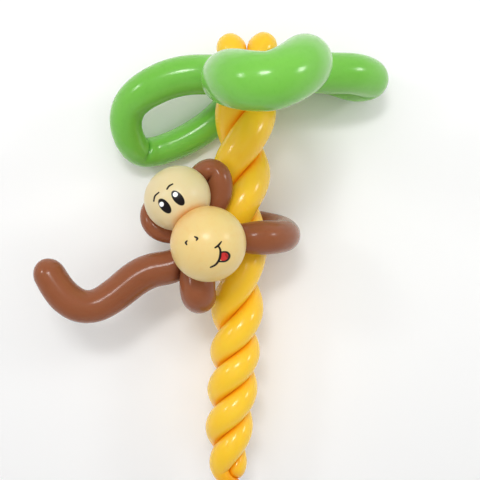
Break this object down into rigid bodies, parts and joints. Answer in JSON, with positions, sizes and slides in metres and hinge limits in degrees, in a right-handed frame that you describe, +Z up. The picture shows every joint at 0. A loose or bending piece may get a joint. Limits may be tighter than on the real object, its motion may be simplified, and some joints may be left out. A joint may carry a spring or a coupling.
{
  "type": "balloon monkey on a balloon palm tree",
  "caption": "Twisted-balloon monkey with a drawn face, hugging a twisted yellow palm trunk with green frond loops, lying on its back.",
  "frame": {"origin": "on the floor under the middle of the whole sculpture as it lies on its back", "axes": "+X across the fronds to the figure's left hand side as seen from its face, +Y up the trunk towards the fronds, +Z up from the floor towards the face"},
  "size_m": [0.513, 0.6936, 0.3732],
  "materials": {
    "yellow_latex": "glossy inflated latex",
    "green_latex": "glossy inflated latex",
    "brown_latex": "glossy inflated latex",
    "blush_latex": "glossy inflated latex with marker pen drawing"
  },
  "bodies": {
    "root": {"trunk_strand_right": "yellow_latex", "trunk_strand_left": "yellow_latex", "side_fronds": "green_latex", "front_frond": "green_latex", "monkey_body": "brown_latex", "head": "blush_latex", "muzzle": "blush_latex"}
  },
  "joints": []
}
